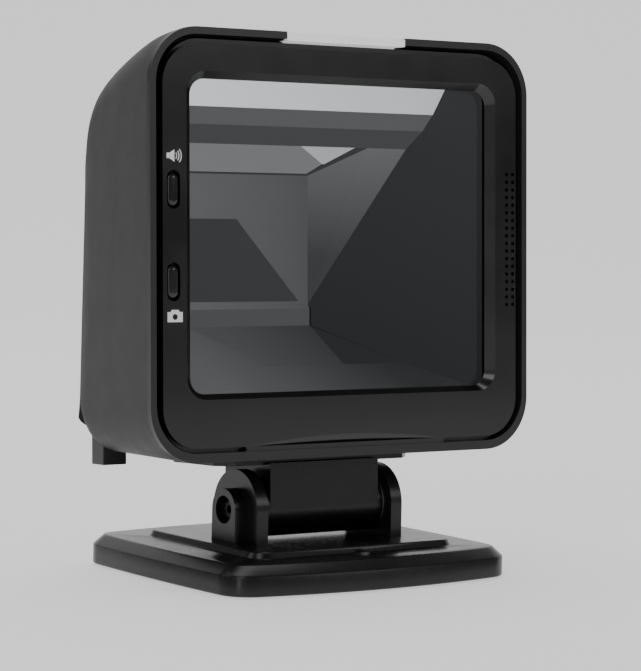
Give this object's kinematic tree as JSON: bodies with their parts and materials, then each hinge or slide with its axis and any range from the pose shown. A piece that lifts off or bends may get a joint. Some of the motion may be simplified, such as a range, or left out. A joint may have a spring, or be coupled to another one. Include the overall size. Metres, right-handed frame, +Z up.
{
  "type": "desktop presentation barcode scanner",
  "caption": "Hands-free desktop barcode scanner: a square scan head with a large window, side buttons and speaker grille, on a tilting neck and a weighted base.",
  "frame": {"origin": "middle of the base at the desk surface", "axes": "+Z up, the scan window faces -Y, +X to the right of a person who stands behind the scanner and looks the same way as +Y points away from the window"},
  "size_m": [0.116, 0.08, 0.1372],
  "materials": {
    "base_plastic": "fine satin texture",
    "shell_plastic": "fine moulded texture, satin",
    "rim_plastic": "fine satin",
    "neck_plastic": "fine satin texture",
    "panel_gloss": "high gloss black",
    "button_gloss": "gloss",
    "rubber_black": "matte rubber",
    "gasket_foam": "matte closed-cell foam",
    "window_glass": "clear scratch-resistant glass",
    "light_pipe": "milky translucent",
    "diffuser_white": "opal diffuser",
    "baffle_plastic": "matte light-absorbing",
    "circuit_board": "green solder mask",
    "chip_black": "moulded epoxy",
    "led_package": "phosphor dome in white package",
    "lens_glass": "coated optical glass",
    "steel": "turned steel",
    "steel_black": "black oxide",
    "steel_zinc": "zinc plated",
    "nylon": "natural nylon",
    "contact_gold": "gold plated",
    "socket_plastic": "black thermoplastic",
    "switch_metal": "tact switch, metal cover"
  },
  "bodies": {
    "base": {"base_cover": "base_plastic", "ballast_plate": "steel", "bottom_cover": "base_plastic", "rubber_feet": "rubber_black", "base_screws": "steel_zinc", "pivot_axle": "steel", "pivot_screws": "steel_black", "friction_washers": "nylon"},
    "head": {"neck": "neck_plastic", "neck_screws": "steel_zinc", "rear_housing": "shell_plastic", "rear_cover": "shell_plastic", "cover_screws": "steel_black", "rear_feet": "rubber_black", "bezel_frame": "rim_plastic", "bezel_screws": "steel_zinc", "front_panel": "panel_gloss", "window_gasket": "gasket_foam", "window_glass": "window_glass", "light_bar": "light_pipe", "status_led_board": "circuit_board", "status_leds": "led_package", "light_baffle": "baffle_plastic", "diffuser_panel": "diffuser_white", "illumination_board": "circuit_board", "illumination_leds": "led_package", "imager_housing": "chip_black", "imager_lens": "lens_glass", "aimer_lens": "lens_glass", "image_sensor_board": "circuit_board", "main_board": "circuit_board", "main_board_parts": "chip_black", "board_screws": "steel_zinc", "cable_socket": "socket_plastic", "socket_contacts": "contact_gold", "speaker": "chip_black", "button_board": "circuit_board", "button_switches": "switch_metal"},
    "volume_button": {"volume_button": "button_gloss"},
    "trigger_button": {"trigger_button": "button_gloss"}
  },
  "joints": [
    {"name": "head_tilt", "type": "hinge", "parent": "base", "child": "head", "pos_m": [0, -0.0047, 0.0176], "axis": [1, 0, 0], "range_deg": [-20, 25]},
    {"name": "volume_press", "type": "slide", "parent": "head", "child": "volume_button", "axis": [0, 0.9992, -0.041], "range_m": [0, 0.0005], "stiffness_N_per_m": 600},
    {"name": "trigger_press", "type": "slide", "parent": "head", "child": "trigger_button", "axis": [0, 0.9992, -0.041], "range_m": [0, 0.0005], "stiffness_N_per_m": 600}
  ]
}
